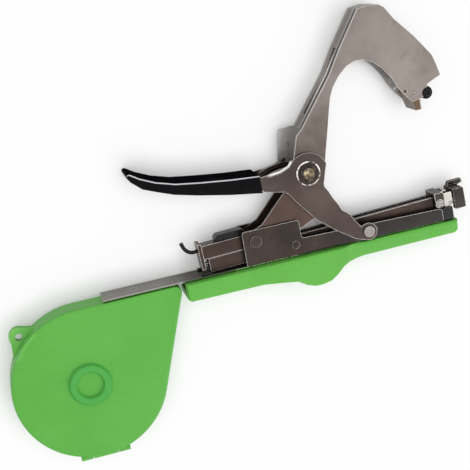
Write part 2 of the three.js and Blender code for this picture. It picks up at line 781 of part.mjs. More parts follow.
// The cover's lip is wider inside the cover, where it joins the wall, and fits in the shell below.
function coverLipRing() {
  const half = hingeWidth / 2 + overrun, floor = caseSplit + slideGap, out = caseWall + slideGap;
  const foot = caseSplit - coverLipDepth, top = floor + coverLip;
  const rings = [[caseWall / 2, floor, top], [out, foot, top]].map(([inset, z0, z1]) => cut(
    slab(teardrop(inset), z0, z1), slab(teardrop(out + coverLip), z0 - overrun, z1 + overrun)));
  return cut(join(...rings), box(-half, half, -far, lipClear - caseRadius, -far, far),
    box(caseCornerX - tapeExitLength - overrun, far, 0, far, -far, tapeChannelWidth / 2));
}

function caseCover() {
  const half = hingeWidth / 2, own = coverKnuckle / 2, floor = caseSplit + slideGap;
  let body = join(cut(caseBlank(), box(-far, far, -far, far, -far, floor)), coverLipRing(), coverRing());
  [[-half - slideGap, -own], [own, half + slideGap]].forEach(([x0, x1]) => {
    body = cut(body, discX(hingeY, caseSplit, hingeRadius + slideGap, x0, x1));
  });
  return cut(join(body, knuckle(-own, own, floor, caseSplit + hingeRadius)), tapeExit(),
    discX(hingeY, caseSplit, hingePinRadius + seatGap, -half, half));
}

// A flat ring on the reel's axis.
function reelRing(inner, outer, sides) {
  const half = tapeWidth / 2;
  return turnedZ([[inner, -half], [outer, -half], [outer, half], [inner, half], [inner, -half]], 0, 0, sides);
}

// Hook: two side plates joined by a back along their rear edge and by a crown.
function hookChannel() {
  const path = rivetPath(), out = frameHalf + overrun, wide = spineSlotWidth / 2;
  const outline = [...spread(hookRootShares, rivetX, rivetY), ...spread(
    [...hookBackShares, ...hookCrownShares, ...hookFrontShares, ...hookTipShares, ...throatShares],
    armReach, armRise)];
  const back = spread([...hookBackShares, ...hookCrownShares], armReach, armRise);
  const [first, end] = [back[0], back[hookBackShares.length - 1]];
  const [[ax, ay], [bx, by]] = spineSlotShares.map((s) => first.map((v, k) => v + (end[k] - v) * s));
  let body = join(...pair(outline, frameInner, frameHalf),
    ...pair(swept(path, slotHalf + slotRim), frameInner, frameHalf),
    ...pair(arc(rollerX, rollerY, rollerEar, 0, 345, 23), frameInner, frameHalf),
    slab(spread(farLugShares, rivetX, rivetY), -frameHalf, -frameInner),
    slab(ribbon(back, sheet), -frameHalf, frameHalf));
  body = cut(body, slab(swept(path, slotHalf), -out, out),
    slab([[ax - spineSlotCut, ay], [ax + spineSlotCut, ay - spineSlotCut],
    [bx + spineSlotCut, by - spineSlotCut],
      [bx - spineSlotCut, by]], -wide, wide),
    discZ(rollerX, rollerY, rollerPinRadius + seatGap, -out, out),
    discZ(clincherX, clincherY, clincherRivetRadius + seatGap, -out, out),
    discZ(tipHoleX, tipHoleY, tipHoleRadius, -out, out),
    discZ(returnLugX, returnLugY, returnHole, -out, 0));
  return cut(body, ...armRivetHoles(-out, out));
}

function armRivetHoles(z0, z1) {
  return armRivetShares.map(([x, y]) => discZ(x * rivetX, y * rivetY, armRivetRadius + seatGap, z0, z1));
}

// The magazine's stub pivots' way past the arm's legs while the arm swings, seen from the arm.
function stubPath() {
  return Array.from({ length: slotSteps + 1 },
    (_, i) => turned(magazinePivotX, -magazinePivotDrop, armSwing * i / slotSteps));
}

function armLeg(z0, z1) {
  const path = rivetPath(), low = z0 - overrun, high = z1 + overrun;
  return cut(join(slab(spread(legShares, rivetX, rivetY), z0, z1), discZ(0, 0, legEnd, z0, z1, someSides),
    slab(swept(path, slotHalf + slotRim), z0, z1)), slab(swept(path, slotHalf), low, high),
  slab(swept(stubPath(), stubCollar + stubRelief), low, high),
  discZ(0, 0, pivotRadius + seatGap, low, high), ...armRivetHoles(low, high));
}

// A pin through both sides of the tool with a head at each end.
function headedPin(x, y, radius, half, headRadius, head) {
  return join(discZ(x, y, radius, -half - head / 2, half + head / 2),
    discZ(x, y, headRadius, half, half + head, someSides),
    discZ(x, y, headRadius, -half - head, -half, someSides));
}

function clincher() {
  const half = legHalf, low = clincherFoot - overrun, top = clincherY + clincherAbove;
  const heel = clincherX - clincherHeelBehind;
  const outline = [[clincherX - clincherBehind, clincherY], [clincherX - clincherTopBehind, top],
    [clincherFront - cutterThick, top], [clincherFront, clincherY - clincherShoulderBelow],
    [clincherFront, clincherFoot], [heel, clincherFoot]];
  const forming = [1, -1].map((side) => box(heel - overrun, clincherFront + overrun, low,
    clincherFoot + stapleWire, ...span(side, stapleHalf / 2, stapleHalf)));
  return cut(slab(outline, -half, half), ...forming,
    discZ(clincherX, clincherY, clincherRivetRadius + seatGap, -half - overrun, half + overrun),
    discX(clincherFoot + cutterScrewRise, 0, cutterScrewRadius + seatGap,
      clincherFront - cutterScrewLength - seatGap, clincherFront + overrun));
}

function cutterBlade() {
  const x = clincherFront + slideGap, low = clincherFoot - cutterOverhang, top = low + cutterLength;
  return cut(slab([[x, low], [x + cutterThick / 4, low], [x + cutterThick, low + cutterThick],
    [x + cutterThick, top], [x, top]], -cutterHalf, cutterHalf),
  discX(clincherFoot + cutterScrewRise, 0, cutterScrewRadius + seatGap, x - overrun,
  x + cutterThick + overrun));
}

function cutterScrew() {
  const y = clincherFoot + cutterScrewRise, seat = clincherFront + slideGap + cutterThick;
  return join(discX(y, 0, cutterScrewRadius, clincherFront - cutterScrewLength, seat + smallHead / 2),
    discX(y, 0, cutterScrewHead, seat, seat + smallHead));
}

// Handle lines, and the room inside them at an inset up to a place in front of the mouth.
const handleTop = spread(handleTopShares, handleReach, handleReach, rivetX, rivetY);
const handleUnder = spread(handleUnderShares, handleReach, handleReach, rivetX, rivetY);
const handleMouth = handleTop[0][0];
const handleTipX = handleUnder[0][0];

function handleRoom(inset, front, low) {
  const rear = handleTipX + handleTipGap + inset - coat, down = inset * insetShare;
  const inner = handleTop.map(([x]) => x).filter((x) => x > rear && x < front);
  const top = [front, ...inner, rear].map((x) => [x, heightAt(handleTop, Math.min(x, handleMouth)) - down]);
  if (low !== undefined) return [...top, [rear, low], [front, low]];
  const under = [rear, ...handleUnder.map(([x]) => x).filter((x) => x > rear && x < front), front];
  return [...top, ...under.map((x) => [x, heightAt(handleUnder, Math.min(x, handleMouth)) + down])];
}

// Lever: side plates that are handle, boss and leg in one, joined by a web along the handle's top.
function leverBody() {
  const spanX = legPinX - rivetX, spanY = rivetY - legPinY, out = leverHalf + overrun;
  const low = legPinY - far, high = rivetY + far, root = rivetX - webRoot;
  const room = handleRoom(coat, handleMouth);
  const turn = room.findIndex(([x], i) => i > 0 && x === room[i - 1][0]);
  const outline = [...room.slice(0, turn).reverse(),
    ...spread(leverRootShares, handleReach, handleReach, rivetX, rivetY),
    ...arc(rivetX, rivetY, leverBoss, 130, 20, 9), ...spread(legFrontShares, spanX, spanY, rivetX, rivetY),
    ...arc(legPinX, legPinY, leverFoot, 100, -110, 16),
    ...spread(legBackShares, spanX, spanY, rivetX, rivetY),
    ...spread(leverUndersideShares, handleReach, handleReach, rivetX, rivetY), ...room.slice(turn).reverse()];
  return cut(slab(outline, -leverHalf, leverHalf),
    slab(handleRoom(coat + sheet, root + weld, low), -leverInner, leverInner),
    box(root, far, low, high, -leverInner, leverInner),
    discZ(rivetX, rivetY, rivetRadius + seatGap, -out, out),
    discZ(legPinX, legPinY, legPinRadius + seatGap, -out, out));
}

function leverGrip() {
  const front = handleMouth + overrun, low = rivetY - far, gap = seatGap;
  const inside = leverInner - gap - innerCoat;
  const room = cut(slab(handleRoom(coat - gap, front), -leverHalf - gap, leverHalf + gap),
    slab(handleRoom(coat + sheet + gap, front + overrun, low), -leverInner + gap, leverInner - gap));
  return cut(slab([...handleTop, ...handleUnder], -midHeight, midHeight, coatEdge), room,
    slab(handleRoom(coat + sheet + gap + innerCoat, front, low), -inside, inside));
}

function mainRivet() {
  const seat = leverHalf + washer;
  const head = turnedZ([[0, seat], ...rivetHeadShares.map(([r, h]) => [r * rivetHeadRadius,
    seat + h * rivetHead])],
    rivetX, rivetY);
  return join(discZ(rivetX, rivetY, rivetRadius, -(seat + midHeight) / 2, seat + rivetHead / 4), head,
    discZ(rivetX, rivetY, tailRadius, -midHeight, -seat, someSides));
}

function rivetWasher(side) {
  const [z0, z1] = span(side, leverHalf, leverHalf + washer);
  return cut(discZ(rivetX, rivetY, washerRadius, z0, z1, someSides),
    discZ(rivetX, rivetY, rivetRadius + seatGap, z0 - overrun, z1 + overrun));
}

// The angle at which a straight leg of the return spring leaves its curls towards a point.
function legAngle(x, y, side) {
  const dx = x - rivetX, dy = y - rivetY;
  return (Math.atan2(dy, dx) + side * Math.acos(returnRadius / Math.hypot(dx, dy))) / rad;
}

function returnSpringLine() {
  const from = legAngle(returnLugX, returnLugY, 1), to = legAngle(returnWebX, returnWebY, -1);
  const turn = ((to - from) % 360 + 360) % 360 + 360 * returnCurls;
  const steps = Math.round(turn / 360 * curlSteps),
    line = [[returnLugX, returnLugY, -frameInner - sheet / 2]];
  line.push([returnLugX, returnLugY, -returnHalf]);
  for (let i = 0; i <= steps; i++) {
    const [x, y] = turned(returnRadius, 0, from + turn * i / steps);
    line.push([rivetX + x, rivetY + y, returnHalf * (2 * i / steps - 1)]);
  }
  line.push([returnWebX, returnWebY, returnHalf]);
  return line;
}

// Leg rivets: a headed stub on each side, so the frame stays open for the magazine.
function legRivet(side) {
  const outer = leverHalf + slideGap / 2;
  return join(discZ(legPinX, legPinY, legPinRadius, ...span(side, legHalf, outer + legPinHead / 2)),
    discZ(legPinX, legPinY, legPinHeadRadius, ...span(side, outer, outer + legPinHead), someSides),
    discZ(legPinX, legPinY, legPinHeadRadius, ...span(side, frameInner - legPinHead, frameInner), someSides));
}

function magazineStub(side) {
  const x = magazinePivotX, y = -magazinePivotDrop;
  return join(discZ(x, y, stubRadius, ...span(side, magazineHalf - stubDepth, frameHalf + stubHeadThick / 2)),
    discZ(x, y, stubCollar, ...span(side, magazineHalf + slideGap, frameInner)),
    discZ(x, y, stubHead, ...span(side, frameHalf, frameHalf + stubHeadThick), someSides));
}

// Magazine: a channel with lips that hold the staples down.
function magazineBody() {
  const h = magazineHalf, w = magazineSheet, t = magazineTop, b = magazineBottom, lip = h - w - magazineLip;
  const body = along([[-h, b], [h, b], [h, t], [lip, t], [lip, t - w], [h - w, t - w], [h - w, b + w],
    [-h + w, b + w], [-h + w, t - w], [-lip, t - w], [-lip, t], [-h, t]], -magazineRear, magazineFront);
  return cut(body, discZ(0, 0, stubRadius + seatGap, -h - overrun, h + overrun),
    discZ(magazineFront - noseScrewInset, 0, noseScrewRadius + seatGap, -h - overrun, h + overrun));
}

// Nose: a saddle over the magazine, a driver's passage in front of it and two cheeks for the holder's pin.
function magazineNose() {
  const back = magazineFront - noseCollar, room = magazineHalf + slideGap, out = noseHalf + overrun;
  const wall = magazineFront + drivePassage + noseWall, inner = noseHalf - cheek;
  const blocks = [box(back, magazineFront, magazineBottom, noseTop, -noseHalf, noseHalf),
    box(magazineFront - overrun, wall, magazineBottom, noseTop, -ribHalf, ribHalf)];
  [1, -1].forEach((side) => blocks.push(
    box(magazineFront - overrun, noseFront, cheekBottom, cheekTop, ...span(side, inner, noseHalf))));
  const head = noseHalf - noseScrewHeadThick - seatGap, x = magazineFront - noseScrewInset;
  return cut(join(...blocks),
    box(back - overrun, magazineFront + slideGap, magazineBottom - overrun, magazineTop + slideGap, -room,
    room),
    box(magazineFront, magazineFront + drivePassage, magazineBottom - overrun, noseTop + overrun,
      -passageHalf, passageHalf),
    discZ(x, 0, noseScrewRadius + seatGap, -out, out), discZ(x, 0, noseScrewHead + seatGap, head, out),
    discZ(x, 0, noseScrewHead + seatGap, -out, -head),
    discZ(holderPinX, holderPinY, holderPinRadius + seatGap, -out, out));
}

function noseScrew(side) {
  const x = magazineFront - noseScrewInset, half = screwSlot / 2, floor = noseHalf - screwSlotDepth;
  return cut(join(discZ(x, 0, noseScrewRadius, ...span(side, magazineHalf - noseScrewDepth, floor)),
    discZ(x, 0, noseScrewHead, ...span(side, noseHalf - noseScrewHeadThick, noseHalf))),
  box(x - noseScrewHead - overrun, x + noseScrewHead + overrun, -half, half,
    ...span(side, floor, noseHalf + overrun)));
}

// Tape holder: a block in front of the cheeks on two arms that go back to its pin.
function tapeHolder() {
  const x0 = noseFront + holderGap, x1 = x0 + holderLength, out = noseHalf + overrun;
  const block = slab(rounded([[x0, holderBottom, holderEdge], [x1, holderBottom, holderEdge],
    [x1, holderTop, holderEdge], [x0, holderTop, holderEdge]]), -holderHalf, holderHalf);
  const arms = [1, -1].map((side) => join(
    box(holderPinX, x0 + overrun, holderPinY - holderArmRadius, holderPinY + holderArmRadius,
      ...span(side, armInner, armOuter)),
    discZ(holderPinX, holderPinY, holderArmRadius, ...span(side, armInner, armOuter))));
  const lug = slab([[x0 + holderEdge, holderTop - overrun], [x1, holderTop - overrun],
    [x1 + holderLugReach, holderTop], [x1 + holderLugReach, holderTop + holderLugRise],
    [x0 + holderLugRise, holderTop + holderLugRise]], -holderHalf, -holderHalf + holderLugWidth);
  return cut(join(block, ...arms, lug),
    discZ(holderPinX, holderPinY, holderPinRadius + seatGap, -out, out));
}

// Driver: blade and foot in one, lying on the leaf spring and held by two flush rivets.
function driverBlade() {
  const half = driverWidth / 2, x = driverX + driverThick / 2, y = floorTop + leafThick;
  return cut(join(box(x - driverThick, x, y, driverTop, -half, half),
    box(x - driverFoot, x, y, y + driverThick, -half, half)),
  discY(driverRivetX, 0, driverRivetRadius + seatGap, floorBottom, floorTop + far),
  discY(guideRivetX, 0, guideRivetRadius + seatGap, floorBottom, floorTop + far));
}

function driverRivet(x, radius) {
  return discY(x, 0, radius, floorBottom, floorTop + leafThick + driverThick);
}

// Black guide: it carries the frame's channel on beyond the frame's front end.
function guideBody() {
  const inner = frameHalf - guideWall;
  const section = rounded([[-frameHalf, guideTop], [-frameHalf, floorBottom, bendRadius],
    [frameHalf, floorBottom, bendRadius], [frameHalf, guideTop], [inner, guideTop], [inner, floorTop],
    [-inner, floorTop], [-inner, guideTop]]);
  return cut(along(section, guideRear, guideRear + guideLength),
    discY(guideRivetX, 0, guideRivetRadius + seatGap, floorBottom - overrun, floorTop + overrun));
}

function leafSpring() {
  const half = leafWidth / 2;
  return cut(slab(ribbon(spread(leafShares, leafLength, leafRise, leafFront, floorTop), leafThick), -half,
    half),
    discY(driverRivetX, 0, driverRivetRadius + seatGap, floorBottom, floorTop + far));
}

function stapleStick() {
  const h = stapleHalf, w = stapleWire, b = magazineBottom + magazineSheet + stapleRest, t = b + stapleLeg;
  return along([[-h, b], [h, b], [h, t], [h - w, t], [h - w, b + w], [-h + w, b + w], [-h + w, t], [-h, t]],
    stickFront - stickLength, stickFront);
}

function followerBody() {
  const low = magazineBottom + magazineSheet + stapleRest;
  return cut(box(followerRear, followerFront, low, followerTop, -stapleHalf, stapleHalf),
    discX(rodRise, 0, rodRadius + seatGap, followerRear - overrun, followerFront + overrun));
}

// Pusher: a cap on the magazine's rear end with a rod that reaches through the stick.
function pusherCap() {
  const front = -capRear + capPlate, low = magazineTop + slideGap, tongue = -padRear + padTongue;
  const shell = cut(box(front - overrun, -capBoxFront, low, capBoxTop, -capBoxHalf, capBoxHalf),
    box(front, -capBoxFront + overrun, low - overrun, capBoxTop - capWall, -capBoxHalf + capWall,
      capBoxHalf - capWall));
  return cut(join(box(-capRear, front, capPlateBottom, capPlateTop, -capPlateHalf, capPlateHalf), shell),
    discX(rodRise, 0, rodRadius + seatGap, -capRear - overrun, front + overrun),
    discX(pullRise, 0, pullRadius + seatGap, -capRear - overrun, front + overrun),
    box(tongue - seatGap, tongue + padTongueLength + seatGap, capBoxTop - capWall - overrun,
    capBoxTop + overrun,
      -padTongueHalf - seatGap, padTongueHalf + seatGap));
}

function pusherPad() {
  const low = capBoxTop + seatGap, top = low + padHeight, tongue = -padRear + padTongue;
  return join(slab([[-padRear, low], [-padFront, low], [-padFront, top - padSlope],
    [-padFront - padSlope, top],
    [-padRear + padSlope, top], [-padRear, top - padSlope]], -padHalf, padHalf),
  box(tongue, tongue + padTongueLength, capBoxTop - capWall, low + overrun, -padTongueHalf, padTongueHalf));
}

function pusherPull() {
  const root = -capRear + capPlate + overrun;
  return wire([[root, pullRise, 0], [-capRear, pullRise, 0],
    ...spread(pullShares, pullReach, pullHeight, -capRear, pullRise).map(([x, y]) => [x, y, 0])],
    pullRadius, 10, 8);
}

function pusherRod() {
  return join(discX(rodRise, 0, rodRadius, -capRear, magazineFront - rodEndGap),
    discX(rodRise, 0, rodStopRadius, rodStopPlace, rodStopPlace + rodStop, someSides));
}

function pushSpringLine() {
  const from = rodStopPlace + rodStop + pushWire, to = followerRear - pushWire, steps = pushCurls * curlSteps;
  const line = [];
  for (let i = 0; i <= steps; i++) {
    const [y, z] = turned(pushRadius, 0, 360 * i / curlSteps);
    line.push([from + (to - from) * i / steps, rodRise + y, z]);
  }
  const beyond = (p, q) => {
    const l = Math.hypot(p[0] - q[0], p[1] - q[1], p[2] - q[2]);
    return p.map((v, k) => v + (v - q[k]) / l * pushWire);
  };
  return [beyond(line[0], line[1]), ...line, beyond(line[steps], line[steps - 1])];
}

// Groups: the reel's place, the tool's place at the rear pivot, and the magazine turned up about its stubs.
const group = new THREE.Group();
group.name = 'plant_tying_tool';
const reel = new THREE.Group(), tool = new THREE.Group(), magazine = new THREE.Group();
reel.position.set(0, 0, midHeight);
tool.position.set(reelToPivotX, reelToPivotY, midHeight);
magazine.position.set(magazinePivotX, -magazinePivotDrop, 0);
magazine.rotation.z = magazineTilt * rad;
tool.add(magazine);
group.add(reel, tool);

mesh(reel, 'case_shell', caseShell(), 'green');
mesh(reel, 'case_cover', caseCover(), 'green');
mesh(reel, 'hinge_pin', discX(hingeY, caseSplit, hingePinRadius, -hingeWidth / 2, hingeWidth / 2), 'bright');
const coreInner = hubRadius + seatGap, coreOuter = coreInner + coreWall;
mesh(reel, 'tape_core', reelRing(coreInner, coreOuter, manySides / 2), 'paper');
mesh(reel, 'tape_roll', reelRing(coreOuter + rollGap, tapeRadius, manySides), 'tape');

mesh(tool, 'main_frame', frameBody(), 'brown');
mesh(tool, 'grip', gripBody(), 'grip');
caseScrewPlaces.forEach((x, i) => mesh(tool, `case_screw_${i + 1}`, caseScrew(x), 'bright'));
mesh(tool, 'rear_pivot_pin', headedPin(0, 0, pivotRadius, frameHalf, pivotHeadRadius, pivotHead), 'bright');
mesh(tool, 'hook_channel', hookChannel(), 'steel');
[[1, 'near'], [-1, 'far']].forEach(([side, place]) => {
  mesh(tool, `arm_leg_${place}`, armLeg(...span(side, legInner, legHalf)), 'steel');
  armRivetShares.forEach(([x, y], i) => mesh(tool, `arm_rivet_${place}_${i + 1}`,
    discZ(x * rivetX, y * rivetY, armRivetRadius, ...span(side, legInner, frameHalf)), 'bright'));
  mesh(tool, `leg_rivet_${place}`, legRivet(side), 'bright');
  mesh(tool, `rivet_washer_${place}`, rivetWasher(side), 'steel');
  mesh(tool, `magazine_pivot_${place}`, magazineStub(side), 'bright');
  mesh(magazine, `nose_screw_${place}`, noseScrew(side), 'bright');
});
mesh(tool, 'clincher', clincher(), 'brass');
mesh(tool, 'clincher_rivet',
  discZ(clincherX, clincherY, clincherRivetRadius, -frameHalf, frameHalf), 'steel');
mesh(tool, 'cutter_blade', cutterBlade(), 'bright');
mesh(tool, 'cutter_screw', cutterScrew(), 'dark');
mesh(tool, 'roller_pin', headedPin(rollerX, rollerY, rollerPinRadius, frameHalf, rollerPinHead,
  smallHead), 'bright');
mesh(tool, 'tape_roller', cut(discZ(rollerX, rollerY, rollerRadius, -legHalf, legHalf, someSides),
  discZ(rollerX, rollerY, rollerPinRadius + seatGap, -frameHalf, frameHalf)), 'black');
mesh(tool, 'lever', leverBody(), 'brown');
mesh(tool, 'lever_grip', leverGrip(), 'black');
mesh(tool, 'main_rivet', mainRivet(), 'bright');
mesh(tool, 'return_spring', coil(returnSpringLine(), returnWire / 2), 'dark');
mesh(tool, 'end_guide', guideBody(), 'black');
mesh(tool, 'driver_blade', driverBlade(), 'bright');
mesh(tool, 'driver_rivet', driverRivet(driverRivetX, driverRivetRadius), 'bright');
mesh(tool, 'guide_rivet', driverRivet(guideRivetX, guideRivetRadius), 'bright');
mesh(tool, 'magazine_spring', leafSpring(), 'dark');

mesh(magazine, 'magazine', magazineBody(), 'brown');
mesh(magazine, 'magazine_nose', magazineNose(), 'brown');
mesh(magazine, 'holder_pin', discZ(holderPinX, holderPinY, holderPinRadius, -noseHalf, noseHalf), 'bright');
mesh(magazine, 'tape_holder', tapeHolder(), 'dark');
mesh(magazine, 'staple_stick', stapleStick(), 'bright');
mesh(magazine, 'follower', followerBody(), 'steel');
mesh(magazine, 'pusher_cap', pusherCap(), 'brown');
mesh(magazine, 'pusher_pad', pusherPad(), 'black');
mesh(magazine, 'pusher_pull', pusherPull(), 'black');
mesh(magazine, 'pusher_rod', pusherRod(), 'bright');
mesh(magazine, 'pusher_spring', coil(pushSpringLine(), pushWire / 2), 'dark');

[['return_spring', returnSpringLine(), returnWire], ['pusher_spring', pushSpringLine(), pushWire]].forEach(
  ([name, line, thick]) => console.log(name, 'least gap', leastGap(line, thick / 2).toFixed(2), 'mm'));

export default group;
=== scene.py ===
import json
import math

import bmesh
import bpy
from mathutils import Matrix, Vector

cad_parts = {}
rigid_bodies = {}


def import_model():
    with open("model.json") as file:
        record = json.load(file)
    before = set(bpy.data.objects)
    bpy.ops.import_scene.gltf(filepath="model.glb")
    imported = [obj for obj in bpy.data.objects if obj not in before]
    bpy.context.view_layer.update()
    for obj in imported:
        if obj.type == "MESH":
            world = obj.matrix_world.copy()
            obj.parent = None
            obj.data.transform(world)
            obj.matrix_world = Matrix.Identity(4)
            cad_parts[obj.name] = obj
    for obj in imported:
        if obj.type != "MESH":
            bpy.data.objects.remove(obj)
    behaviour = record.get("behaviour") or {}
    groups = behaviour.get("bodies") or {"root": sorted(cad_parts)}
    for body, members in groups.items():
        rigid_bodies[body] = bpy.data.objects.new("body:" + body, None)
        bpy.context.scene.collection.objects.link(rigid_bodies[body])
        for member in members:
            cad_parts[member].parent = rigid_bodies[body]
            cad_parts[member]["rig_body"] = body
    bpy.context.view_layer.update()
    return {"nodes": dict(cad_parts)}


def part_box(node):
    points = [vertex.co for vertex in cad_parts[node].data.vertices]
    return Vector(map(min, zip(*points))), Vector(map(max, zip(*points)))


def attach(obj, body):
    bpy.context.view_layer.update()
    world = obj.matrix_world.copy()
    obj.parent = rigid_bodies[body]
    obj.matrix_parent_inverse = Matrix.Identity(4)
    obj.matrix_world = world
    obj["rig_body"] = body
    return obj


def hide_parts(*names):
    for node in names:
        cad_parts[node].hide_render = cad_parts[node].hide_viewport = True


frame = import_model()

# Camera: it looks down on the lying tool and leans a little towards the tape case and the handle, as in the
# photograph. It is tilted 17.3 degrees and turned 12 degrees, with a long lens 0.69 m away.
photo_width, focal_pixels, sensor_width = 470, 1214.3, 36
looked_at, distance = Vector((0.098365, 0.058503, 0)), Vector((0, 0, 0.690102))
tilt, turn = math.radians(17.3), math.radians(12)
view_axes = Matrix.Rotation(tilt, 4, Vector((1, 1, 0))) @ Matrix.Rotation(turn, 4, "Z")
camera = bpy.data.objects.new("camera", bpy.data.cameras.new("camera"))
camera.matrix_world = Matrix.Translation(looked_at) @ view_axes.transposed() @ Matrix.Translation(distance)
camera.data.lens = sensor_width * focal_pixels / photo_width
camera.data.clip_start, camera.data.clip_end = 0.01, 20
bpy.context.scene.collection.objects.link(camera)
bpy.context.scene.camera = camera
bpy.context.scene.view_settings.view_transform = "Standard"

# Room: a wide white table under the tool and an even white sky. A broad lamp stands low on the right, so the
# soft shadow falls to the upper left. The table shows white to the camera and in reflections, but for the
# shadow close to the tool.
class Signal:
    """A value that changes over a surface. Python's operators add the Math nodes."""

    def __init__(self, finish, socket):
        self.finish, self.socket = finish, socket

    def worked(self, operation, first, second=0.0):
        return self.finish.node("ShaderNodeMath", {"operation": operation}, {0: first, 1: second})

    def __add__(self, other):
        return self.worked("ADD", self, other)

    def __sub__(self, other):
        return self.worked("SUBTRACT", self, other)

    def __rsub__(self, other):
        return self.worked("SUBTRACT", other, self)

    def __mul__(self, other):
        return self.worked("MULTIPLY", self, other)

    def __pow__(self, other):
        return self.worked("POWER", self, other)

    __radd__, __rmul__ = __add__, __mul__

    def sine(self):
        return self.worked("SINE", self)

    def size(self):
        return self.worked("ABSOLUTE", self)

    def most(self, other):
        return self.worked("MAXIMUM", self, other)

    def step(self, low, high):
        """0 below low, 1 above high and a smooth rise between them."""
        return self.finish.node("ShaderNodeMapRange", {"interpolation_type": "SMOOTHSTEP"},
                                {"Value": self, "From Min": low, "From Max": high})

    def band(self, rise_from, rise_to, fall_from, fall_to):
        """1 between rise_to and fall_from, and 0 below rise_from and above fall_to."""
        return self.step(rise_from, rise_to) - self.step(fall_from, fall_to)


class Finish:
    """One material. Its surface sockets take numbers, colours or signals."""

    def __init__(self, name, **sockets):
        self.material = bpy.data.materials.new(name)
        self.material.use_nodes = True
        self.tree = self.material.node_tree
        self.surface = self.tree.nodes["Principled BSDF"]
        self.set(**sockets)
        self.places = self.node("ShaderNodeTexCoord", {}, {}, "Object")

    def set(self, **sockets):
        for name, value in sockets.items():
            self.join(self.surface.inputs[name.replace("_", " ")], value)

    def join(self, socket, value):
        if isinstance(value, Signal):
            self.tree.links.new(value.socket, socket)
        else:
            socket.default_value = value

    def node(self, kind, settings, values, output=0):
        """Adds a node, with its settings and the values or links of its sockets, and gives one output."""
        made = self.tree.nodes.new(kind)
        for name, value in settings.items():
            setattr(made, name, value)
        for name, value in values.items():
            self.join(made.inputs[name], value)
        return Signal(self, made.outputs[output])

    def direct(self):
        """1 for what the camera sees, also in a reflection or through glass, and 0 for light on the rest."""
        seen, glossy, through = [self.node("ShaderNodeLightPath", {}, {}, name)
                                 for name in ("Is Camera Ray", "Is Glossy Ray", "Is Transmission Ray")]
        return seen.most(glossy).most(through)

    def cloud(self, scale, detail, stretch=(1, 1, 1), turn=(0, 0, 0)):
        """Noise with features of about 1 / scale metres, longer along an axis where stretch is small."""
        place = self.node("ShaderNodeMapping", {},
                          {"Vector": self.places, "Scale": stretch, "Rotation": turn})
        return self.node("ShaderNodeTexNoise", {}, {"Vector": place, "Scale": scale, "Detail": detail,
                                                    "Roughness": 0.55})

    def axis(self, name):
        """The place along one of the piece's own axes, in metres."""
        return self.node("ShaderNodeSeparateXYZ", {}, {0: self.places}, name)

    def reach(self, centre):
        """The distance from an upright line through a place, in metres."""
        offset = self.node("ShaderNodeVectorMath", {"operation": "SUBTRACT"}, {0: self.places, 1: centre})
        flat = self.node("ShaderNodeVectorMath", {"operation": "MULTIPLY"}, {0: offset, 1: (1, 1, 0)})
        return self.node("ShaderNodeVectorMath", {"operation": "LENGTH"}, {0: flat}, "Value")

    def mixed(self, share, first, second):
        """A colour between two others: the first at 0 and the second at 1."""
        return self.node("ShaderNodeMix", {"data_type": "RGBA"}, {0: share, 6: first, 7: second}, 2)

    def facing(self, name):
        """The surface normal's part along one of the piece's own axes, from -1 to 1."""
        normal = self.node("ShaderNodeTexCoord", {}, {}, "Normal")
        return self.node("ShaderNodeSeparateXYZ", {}, {0: normal}, name)

    def within(self, centre, radius):
        """1 inside an upright cylinder about a place, and 0 outside it."""
        return 1 - self.reach(centre).step(radius * 0.94, radius * 1.06)

    def tint(self, share, colour):
        """Mixes a colour over what the base colour already is."""
        below = self.surface.inputs["Base Color"].links[0].from_socket
        self.set(Base_Color=self.mixed(share, Signal(self, below), (*colour, 1)))

    def edges(self, radius):
        """1 along outer edges, where plating and paint wear and where highlights are painted, and 0 on flat
        faces.
        """
        soft = self.node("ShaderNodeBevel", {"samples": 6}, {"Radius": radius})
        plain = self.node("ShaderNodeNewGeometry", {}, {}, "Normal")
        same = self.node("ShaderNodeVectorMath", {"operation": "DOT_PRODUCT"}, {0: soft, 1: plain}, "Value")
        return (1 - same).step(0.02, 0.2)

    def relief(self, height, depth):
        """Bumps the surface by a signal times a depth in metres, on top of the bumps it already has."""
        values = {"Height": height, "Distance": depth}
        for link in self.surface.inputs["Normal"].links:
            values["Normal"] = Signal(self, link.from_socket)
        self.set(Normal=self.node("ShaderNodeBump", {}, values))


table_size, shadow_reach, least_glow, open_glow = 3, 0.014, 0.1, 0.75
table_mesh = bmesh.new()
bmesh.ops.create_grid(table_mesh, x_segments=1, y_segments=1, size=table_size)
table_data = bpy.data.meshes.new("table")
table_mesh.to_mesh(table_data)
table_mesh.free()
table = bpy.data.objects.new("table", table_data)
bpy.context.scene.collection.objects.link(table)
white_table = Finish("white_table", Base_Color=(0.98, 0.98, 0.98, 1), Roughness=0.9, Specular_IOR_Level=0.0)
glow = white_table.node("ShaderNodeEmission", {}, {"Color": (1, 1, 1, 1), "Strength": 1.0})
openness = white_table.node("ShaderNodeAmbientOcclusion", {"samples": 8}, {"Distance": shadow_reach}, "AO")
shown = white_table.node("ShaderNodeMixShader", {},
                         {0: white_table.direct() * (least_glow + openness ** 2.5 * open_glow),
                          1: Signal(white_table, white_table.surface.outputs[0]), 2: glow})
white_table.join(white_table.tree.nodes["Material Output"].inputs["Surface"], shown)
table.data.materials.append(white_table.material)


class Sky(Finish):
    """The light from all round, made with the same nodes as a finish."""

    def __init__(self, name):
        self.world = bpy.data.worlds.new(name)
        self.world.use_nodes = True
        self.tree = self.world.node_tree
        self.surface = self.tree.nodes["Background"]


